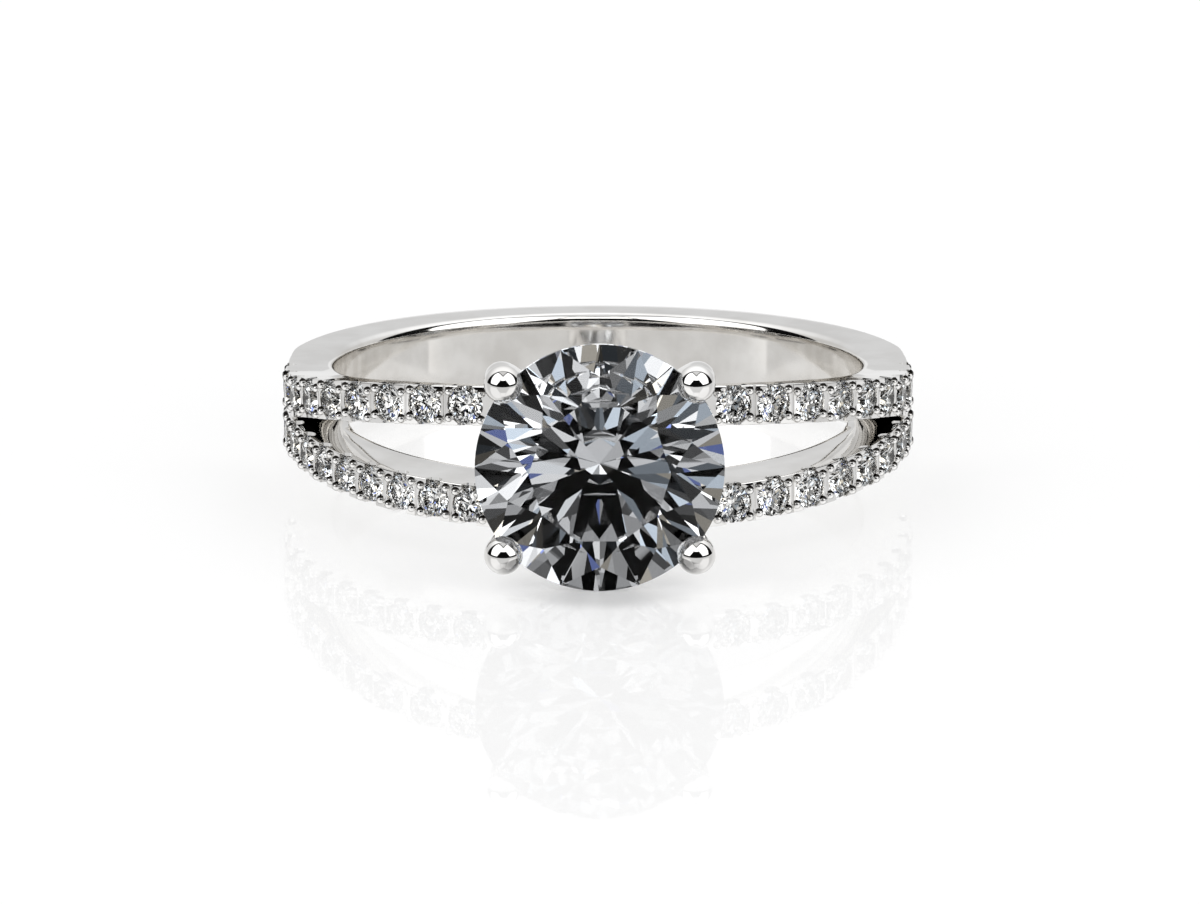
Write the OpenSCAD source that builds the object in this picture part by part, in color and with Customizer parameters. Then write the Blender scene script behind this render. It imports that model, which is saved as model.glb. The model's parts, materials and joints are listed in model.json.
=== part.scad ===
// Solitaire ring with a split shank, lying on its side as if set down on a table.
// The ring is drawn upright in its own frame first: the finger hole runs along Z,
// the centre stone faces -Y. It is then leaned so that the girdle of the stone and
// the back of the shank both touch the table. All sizes are millimetres.

/* [Finger hole] */
// Inside diameter of the ring
bore_d = 17.3; // [16:0.1:18.5]

/* [Shank] */
// Wall between the finger hole and the outside of the plain back
shank_t = 1.6; // [1:0.05:2.5]
// Width of the shank at the middle of the back
back_w = 2.66; // [1.5:0.05:4]
// Width of the shank at the sides, behind the fork
side_w = 2.64; // [2:0.02:4]
// How far the outside of the front half is shifted toward the centre stone
front_shift = 1.1; // [0:0.05:2]

/* [Split bands] */
// Distance from the middle of the ring forward to the fork of the split
fork_y = 2.6; // [1:0.05:5]
// Tilt of each band away from the ring's plane, degrees
band_tilt = 7.1; // [4:0.1:14]
// Width of each band
band_w = 1.28; // [1:0.02:1.8]
// How much narrower each band is at the finger hole, all on the side of the split
band_relief = 0.42; // [0:0.02:0.5]

/* [Centre stone] */
// Girdle diameter
stone_d = 8.0; // [7:0.1:9]
// Girdle thickness as a share of the diameter
girdle_share = 0.028; // [0.01:0.002:0.06]
// Table width as a share of the diameter
table_share = 0.57; // [0.5:0.01:0.65]
// Slope of the main crown facets, degrees
crown_angle = 34.5; // [30:0.5:38]
// Slope of the main pavilion facets, degrees
pavilion_angle = 40.75; // [39:0.25:43]
// Sides of its table, which is also the number of its kites and of its pavilion mains
stone_fold = 10; // [8:2:12]
// Distance from the ring's middle to the girdle plane
stone_y = 12.6; // [11:0.05:15]

/* [Head] */
// Prong wire diameter
prong_d = 0.92; // [0.6:0.02:1.4]
// Prong tip ball diameter
ball_d = 1.2; // [0.8:0.02:1.8]
// Angle of the prongs above and below the ring's plane, degrees
prong_angle = 42; // [30:1:60]
// Wire diameter of the gallery ring under the stone
gallery_d = 0.8; // [0.5:0.05:1.2]

/* [Small stones] */
// Girdle diameter of the small stones
melee_d = 1.2; // [0.9:0.01:1.5]
// Girdle diameter in the lower left row, which holds one stone more
melee_small_d = 1.1; // [0.9:0.01:1.5]
// Sides of their tables
melee_fold = 8; // [6:2:10]
// Stones in each of the three wider spaced rows
row_n = 9; // [3:1:12]
// Turn from one stone to the next in those rows, degrees
row_pitch = 8.4; // [7:0.1:12]
// Turn of the first stone in those rows, degrees
row_start = 25.1; // [20:0.1:40]
// Stones in the closely spaced lower left row
close_n = 10; // [3:1:14]
// Turn from one stone to the next in the close row, degrees
close_pitch = 7.4; // [6:0.1:12]
// Turn of the first stone in the close row, degrees
close_start = 24.3; // [20:0.1:40]
// Bead diameter
bead_d = 0.38; // [0.2:0.01:0.5]

/* [Fit] */
// Gap between each stone and its metal
stone_gap = 0.04; // [0.02:0.01:0.1]

/* [Hidden] */
bore_r = bore_d / 2;
back_r = bore_r + shank_t;
// The outside of the front half is an arc that meets the back arc at the sides.
front_r = sqrt(back_r * back_r + front_shift * front_shift);
band_slope = tan(band_tilt);
// Behind the fork each row of stones keeps to its own half of the shank.
row_z = side_w / 4;
// Height that a band's middle would have over the ring's middle; the two meet at the fork.
band_0 = band_w / cos(band_tilt) / 2 - band_slope * fork_y;
stone_r = stone_d / 2;
// The ring rests on the lower rim of the stone's girdle and on the back's lower edge.
lean = atan((stone_r - back_w / 2) / (stone_y - girdle_share * stone_r + back_r));
// The facets bulge over plain cones by less than these shares of the cones' heights.
crown_bulge = 0.15;
pavilion_bulge = 0.1;
// Prongs run from the foot on the bands, out to the bend under the girdle, and up to the ball.
foot_r = 2.9;
foot_y = bore_r + 0.75;
bend_r = stone_r + 0.18;
bend_y = stone_y - 0.75;
prong_r = stone_r + 0.15;
ball_y = stone_y + 0.42;
gallery_r = 3.35;
gallery_y = 11.0;
// Under the head the bands are cut flat, this far from the ring's middle.
seat_y = bore_r + 1.3;
seat_r = 3.3;
// Girdles of the small stones lie this far below the outside of the bands.
melee_sink = 0.1;
// Place of the beads: from the middle of the row, and back from the middle between two stones.
bead_across = 0.43;
bead_back = 0.22;
// More than the ring reaches, for cutting.
far = 15;
metal = [0.80, 0.80, 0.82];
gem = [0.90, 0.93, 0.96];

// Round brilliant: height of the plane through three points, above a fourth one.
function plane_z(a, b, c, p) =
    let (n = cross(b - a, c - a)) a[2] - (n[0] * (p[0] - a[0]) + n[1] * (p[1] - a[1])) / n[2];
function polar(r, turn, z) = [r * cos(turn), r * sin(turn), z];

// Points of a round brilliant with its table toward +Z and its girdle at z = 0. The table
// has as many sides as fold says, and each of the 2 * fold girdle arcs is cut into sub pieces.
function gem_points(r, fold, sub) =
    let (g = girdle_share * r,
         step = 360 / fold,
         half = step / 2,
         rt = table_share * r,
         rb = (rt * cos(half) + r) / 2,
         rd = 0.24 * r,
         zt = g + (r - rt) * tan(crown_angle),
         zb = g + (r - rb * cos(half)) * tan(crown_angle),
         zd = -g - (r - rd * cos(half)) * tan(pavilion_angle),
         n = 2 * fold * sub,
         top = [for (i = [0 : n - 1])
             let (t = i * 360 / n, s = floor(i / sub), k = floor(s / 2),
                  p = polar(r, t, g))
             i % sub == 0 ? p
                 : polar(r, t, plane_z(polar(rb, step * k + half, zb), polar(r, s * half, g),
                                       polar(r, s * half + half, g), p))],
         low = [for (i = [0 : n - 1])
             let (t = i * 360 / n, s = floor(i / sub), k = floor(s / 2),
                  p = polar(r, t, -g))
             i % sub == 0 ? p
                 : polar(r, t, plane_z(polar(rd, step * k + half, zd), polar(r, s * half, -g),
                                       polar(r, s * half + half, -g), p))])
    concat([for (k = [0 : fold - 1]) polar(rt, step * k, zt)],
           [for (k = [0 : fold - 1]) polar(rb, step * k + half, zb)],
           [for (k = [0 : fold - 1]) polar(rd, step * k + half, zd)],
           [[0, 0, -g - r * tan(pavilion_angle)]],
           top, low);

// Faces over those points. With a fold of 8: table, 8 stars, 8 kites, 16 upper halves, the
// girdle, 16 lower halves and 8 pavilion mains.
function gem_faces(fold, sub) =
    let (n = 2 * fold * sub, f1 = 2 * fold, culet = 3 * fold, t0 = culet + 1, l0 = t0 + n)
    concat([[for (k = [fold - 1 : -1 : 0]) k]],
           [for (k = [0 : fold - 1]) [(k + 1) % fold, fold + k, k]],
           [for (k = [0 : fold - 1]) [t0 + 2 * sub * k, fold + (k + fold - 1) % fold, k]],
           [for (k = [0 : fold - 1]) [fold + k, t0 + 2 * sub * k, k]],
           [for (k = [0 : fold - 1], i = [0 : 2 * sub - 1])
               [t0 + (2 * sub * k + i + 1) % n, t0 + 2 * sub * k + i, fold + k]],
           [for (i = [0 : n - 1]) [l0 + (i + 1) % n, l0 + i, t0 + i]],
           [for (i = [0 : n - 1]) [t0 + (i + 1) % n, l0 + (i + 1) % n, t0 + i]],
           [for (k = [0 : fold - 1], i = [0 : 2 * sub - 1])
               [l0 + 2 * sub * k + i, l0 + (2 * sub * k + i + 1) % n, f1 + k]],
           [for (k = [0 : fold - 1]) [f1 + (k + fold - 1) % fold, l0 + 2 * sub * k, culet]],
           [for (k = [0 : fold - 1]) [l0 + 2 * sub * k, f1 + k, culet]]);

module brilliant(d, fold, sub) {
    polyhedron(points = gem_points(d / 2, fold, sub), faces = gem_faces(fold, sub),
               convexity = 2);
}

// Room for a brilliant with a gap all round, as one turned shape.
module gem_room(d, gap) {
    r = d / 2;
    g = girdle_share * r + gap / 2;
    rise = (r - table_share * r) * tan(crown_angle) * (1 + crown_bulge);
    drop = (r + gap) * tan(pavilion_angle) * (1 + pavilion_bulge);
    rotate_extrude($fn = 48)
        polygon([[0, -g - drop], [r + gap, -g], [r + gap, g],
                 [table_share * r + gap, g + rise], [0, g + rise]]);
}

// Height of a row's middle above the ring's plane, at a distance forward of the middle.
function row_height(y) = max(row_z, band_0 + band_slope * y);

// Puts its children on the outside of the front half. The turn is measured at the
// centre of the front arc, and side is 1 for the right and -1 for the left.
module on_band(side, level, turn, along, across, lift) {
    y = front_shift + front_r * cos(turn);
    translate([0, -front_shift, level * (row_height(y) + across)])
        rotate([0, 0, side * (turn + along * 180 / (PI * front_r))])
            translate([0, -front_r - lift, 0]) rotate([90, 0, 0]) children();
}

module melee_row(side, level, n, start, pitch, d) {
    color(gem)
        for (i = [0 : n - 1])
            on_band(side, level, start + i * pitch, 0, 0, -melee_sink)
                brilliant(d, melee_fold, 1);
}

// Seats and beads of one row: two beads on each edge between neighbours.
module seat_row(side, level, n, start, pitch, d) {
    for (i = [0 : n - 1])
        on_band(side, level, start + i * pitch, 0, 0, -melee_sink) {
            gem_room(d, stone_gap);
            // open above the table
            cylinder(h = d / 2, r = table_share * d / 2 + stone_gap, $fn = 32);
        }
}
module bead_row(side, level, n, start, pitch) {
    reach = pitch * PI * front_r / 360 - bead_back;
    for (i = [0 : n - 1], a = [-1, 1], c = [-1, 1])
        on_band(side, level, start + i * pitch, a * reach, c * bead_across, 0)
            sphere(d = bead_d, $fn = 20);
}
module all_seats() {
    for (side = [-1, 1]) seat_row(side, 1, row_n, row_start, row_pitch, melee_d);
    seat_row(-1, -1, close_n, close_start, close_pitch, melee_small_d);
    seat_row(1, -1, row_n, row_start, row_pitch, melee_d);
}
module all_beads() {
    for (side = [-1, 1]) bead_row(side, 1, row_n, row_start, row_pitch);
    bead_row(-1, -1, close_n, close_start, close_pitch);
    bead_row(1, -1, row_n, row_start, row_pitch);
}

// The outline of the shank seen along the finger hole.
module shank_plan() {
    intersection() {
        circle(r = back_r, $fn = 180);
        translate([-far, 0]) square([2 * far, far]);
    }
    intersection() {
        translate([0, -front_shift]) circle(r = front_r, $fn = 180);
        translate([-far, -far]) square([2 * far, far + 0.001]);
    }
}
// Turns a side outline into a block across the whole ring.
module across_ring() {
    rotate([90, 0, 90]) translate([0, 0, -far]) linear_extrude(height = 2 * far) children();
}
// The undivided part behind the fork, tapering to the back.
module back_block() {
    across_ring()
        polygon([[back_r + 1, back_w / 2], [0, side_w / 2], [-fork_y, side_w / 2],
                 [-fork_y, -side_w / 2], [0, -side_w / 2], [back_r + 1, -back_w / 2]]);
}
// The upper band before its outside is cut to the plan: a flat ring, tilted up at
// the front and cut to the front half.
module upper_band() {
    h = band_w / 2;
    intersection() {
        translate([0, 0, band_0]) rotate([-band_tilt, 0, 0])
            rotate_extrude($fn = 180)
                polygon([[bore_r - 1, -h + band_relief * 1.5], [bore_r + 2, -h],
                         [far - 1, -h], [far - 1, h], [bore_r - 1, h]]);
        translate([-far, -far, -far / 2]) cube([2 * far, far - fork_y + 0.6, far]);
    }
}

module shank() {
    difference() {
        intersection() {
            translate([0, 0, -far / 2]) linear_extrude(height = far) shank_plan();
            union() {
                back_block();
                upper_band();
                mirror([0, 0, 1]) upper_band();
            }
        }
        // the bands are cut low under the stone, so that the head stands on them
        translate([0, -seat_y, 0]) rotate([90, 0, 0]) cylinder(h = far, r = seat_r, $fn = 96);
    }
}

// A round bar from a to b.
module bar(a, b, d) {
    v = b - a;
    translate(a) rotate([0, acos(v[2] / norm(v)), atan2(v[1], v[0])])
        cylinder(h = norm(v), d = d, $fn = 32);
}
module head() {
    for (sx = [-1, 1], sz = [-1, 1]) {
        c = cos(prong_angle) * sx;
        s = sin(prong_angle) * sz;
        bar([foot_r * c, -foot_y, foot_r * s], [bend_r * c, -bend_y, bend_r * s], prong_d);
        bar([bend_r * c, -bend_y, bend_r * s], [prong_r * c, -ball_y, prong_r * s], prong_d);
        translate([bend_r * c, -bend_y, bend_r * s]) sphere(d = prong_d + 0.04, $fn = 32);
        translate([prong_r * c, -ball_y, prong_r * s]) sphere(d = ball_d, $fn = 48);
    }
    translate([0, -gallery_y, 0]) rotate([90, 0, 0])
        rotate_extrude($fn = 96) translate([gallery_r, 0]) circle(d = gallery_d, $fn = 32);
}

module leaned() {
    rotate([-lean, 0, 0]) children();
}

module ring_body() {
    color(metal) leaned() difference() {
        union() {
            shank();
            head();
            all_beads();
        }
        all_seats();
        translate([0, -stone_y, 0]) rotate([90, 0, 0]) gem_room(stone_d, stone_gap);
        cylinder(h = far, r = bore_r, center = true, $fn = 180);
    }
}
module centre_stone() {
    color(gem) leaned() translate([0, -stone_y, 0]) rotate([90, 0, 0])
        brilliant(stone_d, stone_fold, 2);
}

module melee_upper_left() {
    leaned() melee_row(-1, 1, row_n, row_start, row_pitch, melee_d);
}
module melee_upper_right() {
    leaned() melee_row(1, 1, row_n, row_start, row_pitch, melee_d);
}
module melee_lower_left() {
    leaned() melee_row(-1, -1, close_n, close_start, close_pitch, melee_small_d);
}
module melee_lower_right() {
    leaned() melee_row(1, -1, row_n, row_start, row_pitch, melee_d);
}

ring_body();
centre_stone();
melee_upper_left();
melee_upper_right();
melee_lower_left();
melee_lower_right();
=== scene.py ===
# %% [markdown]
# # A solitaire ring lying on its side
# The construction is loaded first and stays where it is. It gives the finger hole, the lean
# of the ring and its box, whose bottom is the table. The camera, the studio, the
# finishes, the metal and the stones then follow, each in its own cells.

# %% Load the construction
import json
import math

import bmesh
import bpy
from mathutils import Matrix, Vector


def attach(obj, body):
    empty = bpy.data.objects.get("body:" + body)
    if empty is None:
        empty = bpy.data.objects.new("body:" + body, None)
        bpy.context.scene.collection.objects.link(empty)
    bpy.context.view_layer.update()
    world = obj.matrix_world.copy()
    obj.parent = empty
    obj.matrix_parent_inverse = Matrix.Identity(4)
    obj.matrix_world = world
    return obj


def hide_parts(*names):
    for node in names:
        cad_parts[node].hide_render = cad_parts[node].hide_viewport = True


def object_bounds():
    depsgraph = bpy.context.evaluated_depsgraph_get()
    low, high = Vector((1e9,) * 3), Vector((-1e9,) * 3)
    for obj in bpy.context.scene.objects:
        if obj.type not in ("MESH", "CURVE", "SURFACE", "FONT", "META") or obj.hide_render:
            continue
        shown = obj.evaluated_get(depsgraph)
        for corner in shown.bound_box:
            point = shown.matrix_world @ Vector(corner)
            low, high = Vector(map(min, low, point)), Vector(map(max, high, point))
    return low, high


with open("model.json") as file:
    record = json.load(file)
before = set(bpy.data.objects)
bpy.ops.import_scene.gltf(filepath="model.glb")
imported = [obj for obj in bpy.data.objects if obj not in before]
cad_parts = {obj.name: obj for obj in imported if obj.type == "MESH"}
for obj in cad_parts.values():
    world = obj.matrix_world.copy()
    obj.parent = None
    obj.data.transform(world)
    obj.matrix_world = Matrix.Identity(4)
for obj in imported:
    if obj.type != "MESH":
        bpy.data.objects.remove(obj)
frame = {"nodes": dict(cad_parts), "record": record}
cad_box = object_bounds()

print("construction nodes:", sorted(frame["nodes"]))

# %% [markdown]
# ## Measures
# A jeweller works on a ring that stands square on the bench, so each piece is shaped in the
# ring's own frame: millimetres, the finger hole along Z, the centre stone toward -Y. One
# matrix then leans the finished piece over and brings it to metres. The hole and the lean
# come from the construction's own mount, and the stone's size from its node.

# %% The ring's own frame
MM = 0.001
hole = next(m for m in frame["record"]["mounts"] if m["name"] == "finger_bore")
BORE_R = hole["dims"]["r_mm"]
LEAN = math.atan2(hole["axis"][1], hole["axis"][2])
TO_ROW = Matrix.Rotation(-LEAN, 4, "X") @ Matrix.Scale(MM, 4)
FLOOR_Z = cad_box[0].z


def own_frame(node):
    """The vertices of a construction node, in the ring's own frame."""
    back = TO_ROW.inverted()
    return [back @ v.co for v in frame["nodes"][node].data.vertices]


stone_points = own_frame("centre_stone")
STONE_R = max(p.x for p in stone_points)
girdle_points = [p.y for p in stone_points if p.x > 0.999 * STONE_R]
STONE_Y = -sum(girdle_points) / len(girdle_points)
print(f"lean {math.degrees(LEAN):.2f} degrees, stone radius {STONE_R:.3f}, girdle at {STONE_Y:.3f}")

# %% Driving sizes, in millimetres and degrees
SHANK_T = 1.6
BACK_W = 2.66
SIDE_W = 2.64
FRONT_SHIFT = 1.1
FORK_Y = 2.6
BAND_TILT = math.radians(7.1)
BAND_W = 1.28
BAND_RELIEF = 0.42
BACK_R = BORE_R + SHANK_T
FRONT_R = math.hypot(BACK_R, FRONT_SHIFT)
SLOPE = math.tan(BAND_TILT)
BAND_HALF = BAND_W / math.cos(BAND_TILT) / 2
BAND_0 = BAND_HALF - SLOPE * FORK_Y
SEAT_Y = BORE_R + 1.3
print(f"front arc radius {FRONT_R:.3f}, half band {BAND_HALF:.3f}")

# %% [markdown]
# ## Camera
# The photograph was taken from far away with a long lens, about 16.5 degrees above the
# table. A long lens keeps the far side of the ring nearly as large as the near side. The
# camera aims past the ring's middle, so that the ring sits where it does in the picture.

# %% Camera
IMAGE_W, IMAGE_H = 1200, 904
FOCAL_PX = 15250
RING_PX = (597.77, 400.5)
ELEVATION = math.radians(16.48)
YAW = math.radians(-0.27)
DISTANCE = 0.5

camera_data = bpy.data.cameras.new("camera")
camera_data.sensor_width = 36.0
camera_data.lens = FOCAL_PX / IMAGE_W * camera_data.sensor_width
camera_data.clip_start = 0.01
camera_data.clip_end = 50.0
camera = bpy.data.objects.new("camera", camera_data)
bpy.context.scene.collection.objects.link(camera)
camera.location = DISTANCE * Vector((
    math.sin(YAW) * math.cos(ELEVATION), -math.cos(YAW) * math.cos(ELEVATION), math.sin(ELEVATION)))
pan = YAW + math.atan((RING_PX[0] - IMAGE_W / 2) / FOCAL_PX)
pitch = ELEVATION - math.atan((RING_PX[1] - IMAGE_H / 2) / FOCAL_PX)
camera.rotation_euler = (math.pi / 2 - pitch, 0.0, pan)
bpy.context.scene.camera = camera
print("camera at", [round(c, 4) for c in camera.location], "lens", round(camera_data.lens, 1))


# %% [markdown]
# ## Node helpers
# Every finish is a small node tree. These helpers add a node, set its plain numbers and wire
# its inputs in one call, so that each material below reads as a list of what it is made of.

# %% Node helpers
def add(tree, kind, inputs=None, **settings):
    """A node with its settings; inputs are numbers, colours or other nodes' sockets."""
    node = tree.nodes.new(kind)
    for name, value in settings.items():
        setattr(node, name, value)
    for name, value in (inputs or {}).items():
        if isinstance(value, bpy.types.NodeSocket):
            tree.links.new(value, node.inputs[name])
        else:
            node.inputs[name].default_value = value
    return node


def maths(tree, operation, *values):
    """The result of one Math node."""
    return add(tree, "ShaderNodeMath", dict(enumerate(values)), operation=operation).outputs[0]


def ramp_between(tree, value, low, high, to_low=0.0, to_high=1.0, kind="SMOOTHSTEP"):
    """value mapped from low..high to to_low..to_high and held at the ends."""
    node = add(tree, "ShaderNodeMapRange", {
        "Value": value, "From Min": low, "From Max": high, "To Min": to_low, "To Max": to_high,
    }, interpolation_type=kind, clamp=True)
    return node.outputs["Result"]


def new_material(name):
    """An empty node material and its tree."""
    material = bpy.data.materials.new(name)
    material.use_nodes = True
    material.node_tree.nodes.clear()
    return material, material.node_tree


print("node helpers:", add.__name__, maths.__name__, ramp_between.__name__, new_material.__name__)

# %% [markdown]
# ## Studio
# Polished metal and cut stones show little of themselves and much of the room. The four
# prong balls of the photograph mirror that room: two tall white panels to the left and right
# of the camera, black between and outside them, a light grey awning over the panels, and a
# white vault behind and overhead. The room is drawn straight into the world by direction,
# which lights the ring without a lamp ever standing in another view. Its left and right
# halves are alike, so only one of them is worked out.

# %% Directions in the room
def angle(degrees):
    """An angle in radians, from degrees."""
    return math.radians(degrees)


def dot(tree, vector, direction):
    """The dot product of a vector and a fixed direction."""
    return add(tree, "ShaderNodeVectorMath", {0: vector, 1: direction},
               operation="DOT_PRODUCT").outputs["Value"]


world = bpy.data.worlds.new("studio")
bpy.context.scene.world = world
world.use_nodes = True
room = world.node_tree
room.nodes.clear()
ray = add(room, "ShaderNodeTexCoord").outputs["Generated"]
xyz = add(room, "ShaderNodeSeparateXYZ", {"Vector": ray})
aside = maths(room, "ABSOLUTE", xyz.outputs["X"])
bearing = maths(room, "ARCTAN2", aside, maths(room, "MULTIPLY", xyz.outputs["Y"], -1.0))
height = maths(room, "ARCSINE", xyz.outputs["Z"])
one_side = add(room, "ShaderNodeCombineXYZ", {
    "X": aside, "Y": xyz.outputs["Y"], "Z": xyz.outputs["Z"]}).outputs[0]
print("directions worked out with", len(room.nodes), "nodes")

# %% [markdown]
# The vault is everything behind the ring, brighter toward the top. Its edge leans a little
# toward the camera overhead.

# %% Vault
VAULT_EDGE = 0.37
VAULT_LEAN = -0.20
VAULT_LIGHT = (0.70, 1.25)
vault_edge = maths(room, "MULTIPLY_ADD", xyz.outputs["Z"], VAULT_LEAN, VAULT_EDGE)
behind = maths(room, "SUBTRACT", xyz.outputs["Y"], vault_edge)
vault = maths(room, "MULTIPLY", ramp_between(room, behind, -0.01, 0.02),
              ramp_between(room, height, angle(8), angle(60), *VAULT_LIGHT))
print("light of the vault, low and high:", VAULT_LIGHT)

# %% [markdown]
# The awning closes the room over the panels. It is a square cloth with one corner toward the
# camera, so its two edges meet in a point. The prong balls show that point clearly.

# %% Awning
AWNING_EDGE = (-0.814, 0.507, 0.285)
AWNING_LIGHT = 0.75
over = dot(room, one_side, AWNING_EDGE)
awning = maths(room, "MULTIPLY", ramp_between(room, behind, -0.03, -0.06),
               ramp_between(room, over, angle(2.5), angle(4.5)))
print("light of the awning:", AWNING_LIGHT)

# %% [markdown]
# Each panel stands between a near and a far bearing and reaches from its foot to the awning.
# It leans in over the ring, so that its sides spread upward. A card over the camera joins the
# two.

# %% Panels
PANEL_FOOT = angle(8)
PANEL_NEAR = (angle(39), angle(21))
PANEL_FAR = (angle(79), angle(98))
PANEL_SOFT = angle(0.8)
PANEL_LIGHT = 1.7
panel_near = ramp_between(room, height, PANEL_FOOT, angle(36), *PANEL_NEAR, "LINEAR")
panel_far = ramp_between(room, height, PANEL_FOOT, angle(58), *PANEL_FAR, "LINEAR")
panel = maths(
    room, "MULTIPLY",
    ramp_between(room, maths(room, "SUBTRACT", bearing, panel_near), -PANEL_SOFT, PANEL_SOFT),
    ramp_between(room, maths(room, "SUBTRACT", panel_far, bearing), -PANEL_SOFT, PANEL_SOFT))
card = maths(room, "MULTIPLY", ramp_between(room, bearing, angle(19.5), angle(18)),
             ramp_between(room, height, angle(36), angle(38)))
panel = maths(room, "MAXIMUM", panel, card)
panel = maths(room, "MULTIPLY", panel,
              maths(room, "MULTIPLY", ramp_between(room, height, angle(7), angle(8.6)),
                    ramp_between(room, over, angle(0.0), angle(-1.5))))
print("light of the panels:", PANEL_LIGHT)

# %% [markdown]
# Everything else is black cloth, which gives polished metal its dark edges.

# %% Light of the room
BLACK_CLOTH = 0.004
light = maths(room, "ADD", vault, maths(room, "MULTIPLY", panel, PANEL_LIGHT))
light = maths(room, "MULTIPLY_ADD", awning, AWNING_LIGHT, light)
light = maths(room, "MAXIMUM", light, BLACK_CLOTH)
print("room drawn with", len(room.nodes), "nodes")

# %% [markdown]
# Facets magnify what the room is made of, so the stones alone see it as a patchwork of
# cloths, some lighter and some darker, round the black of the camera. A few of the cloths are
# tinted, which stands in for the coloured fire that a renderer without dispersion leaves out.
# What the camera itself sees past the table is plain white.

# %% Patchwork
WHITE = (1.0, 1.0, 1.0, 1.0)
FIRE = ((0.0, (0.35, 0.45, 1.0, 1.0)), (0.035, (0.80, 0.90, 1.0, 1.0)),
        (0.26, (1.0, 1.0, 0.99, 1.0)), (0.72, (1.0, 0.93, 0.80, 1.0)),
        (0.86, (0.97, 0.99, 1.0, 1.0)))
print("tints of the cloths:", len(FIRE))


def mixed_colour(tree, share, first, second):
    """The second colour laid over the first by a share from 0 to 1."""
    return add(tree, "ShaderNodeMix", {0: share, 6: first, 7: second}, data_type="RGBA").outputs[2]


def patches(tree, where, scale, low, high):
    """Random brightness from low to high, and a random number, for each patch of a pattern."""
    cells = add(tree, "ShaderNodeTexVoronoi", {"Vector": where, "Scale": scale})
    pick = add(tree, "ShaderNodeSeparateColor", {0: cells.outputs["Color"]})
    return ramp_between(tree, pick.outputs[0], 0.25, 0.85, low, high, "LINEAR"), pick.outputs[1]


def fire(tree, number):
    """The tint of a patch from its random number: mostly white, some ice blue, cream or blue."""
    ramp = add(tree, "ShaderNodeValToRGB", {"Fac": number})
    stops = ramp.color_ramp
    stops.interpolation = "CONSTANT"
    stops.elements.remove(stops.elements[1])
    for k, (position, tint) in enumerate(FIRE):
        stop = stops.elements.new(position) if k else stops.elements[0]
        stop.color = tint
    return ramp.outputs["Color"]


# %% The room as each kind of ray finds it
CAMERA_UP = angle(9)
CAMERA_BLACK = (angle(12.5), angle(13))
PATCH_SCALE = 6.0
PATCH_LIGHT = (0.03, 1.6)
PATCH_LEAST = 0.8
BACKDROP = 0.985
ahead = dot(room, ray, (0.0, -math.cos(CAMERA_UP), math.sin(CAMERA_UP)))
beside = ramp_between(room, ahead, *(math.cos(edge) for edge in CAMERA_BLACK))
cloth, number = patches(room, ray, PATCH_SCALE, *PATCH_LIGHT)
cloth = maths(room, "MULTIPLY", cloth, maths(room, "MAXIMUM", light, PATCH_LEAST))
cloth = maths(room, "MULTIPLY", cloth, beside)
kind_of_ray = add(room, "ShaderNodeLightPath").outputs
to_stone = kind_of_ray["Is Transmission Ray"]
to_camera = kind_of_ray["Is Camera Ray"]
light = add(room, "ShaderNodeMix", {"Factor": to_stone, "A": light, "B": cloth}).outputs[0]
colour = mixed_colour(room, to_stone, WHITE, fire(room, number))
strength = add(room, "ShaderNodeMix", {"Factor": to_camera, "A": light, "B": BACKDROP}).outputs[0]
background = add(room, "ShaderNodeBackground", {"Color": colour, "Strength": strength})
add(room, "ShaderNodeOutputWorld", {"Surface": background.outputs[0]})
print("studio drawn with", len(room.nodes), "nodes")

# %% [markdown]
# The table is white acrylic. It is bright enough to vanish into the white of the picture, and
# darkest where the ring touches it, partly from real shadow and partly from painted shadow.
# Its polish returns a faint mirror image of the ring, which fades with the distance from the ring.

# %% Table
TABLE_HALF = 3.0
floor_mesh = bmesh.new()
bmesh.ops.create_grid(floor_mesh, x_segments=8, y_segments=8, size=TABLE_HALF)
bmesh.ops.translate(floor_mesh, verts=floor_mesh.verts, vec=(0.0, 0.0, FLOOR_Z))
floor_data = bpy.data.meshes.new("floor")
floor_mesh.to_mesh(floor_data)
floor_mesh.free()
floor = bpy.data.objects.new("floor", floor_data)
bpy.context.scene.collection.objects.link(floor)

acrylic, tree = new_material("white_acrylic")
floor.data.materials.append(acrylic)
place = add(tree, "ShaderNodeTexCoord").outputs["Object"]
forward = add(tree, "ShaderNodeSeparateXYZ", {"Vector": place}).outputs["Y"]
kind_of_ray = add(tree, "ShaderNodeLightPath").outputs
mirror = add(tree, "ShaderNodeBsdfGlossy", {"Color": WHITE, "Roughness": 0.01}).outputs[0]
print("table at", round(FLOOR_Z * 1000, 3), "mm")


# %% [markdown]
# To the camera the table is white, with soft shadows and a mirror image that fades with
# distance. Part of its white is its own glow, which dies down where the ring touches it: a
# painted contact shadow on top of the real one.

# %% Table as the camera sees it
def glow(strength):
    """A white emission of a strength that is a number or a socket."""
    return add(tree, "ShaderNodeEmission", {"Color": WHITE, "Strength": strength}).outputs[0]


def mixed(share, first, second):
    """The second shader laid over the first by a share from 0 to 1."""
    return add(tree, "ShaderNodeMixShader", {0: share, 1: first, 2: second}).outputs[0]


def oval(centre, half):
    """The distance from a centre, as a share of the half axes of an oval on the table."""
    away = add(tree, "ShaderNodeVectorMath", {0: place, 1: centre}, operation="SUBTRACT").outputs[0]
    share = add(tree, "ShaderNodeVectorMath", {0: away, 1: half}, operation="DIVIDE").outputs[0]
    return add(tree, "ShaderNodeVectorMath", {0: share}, operation="LENGTH").outputs["Value"]


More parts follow.
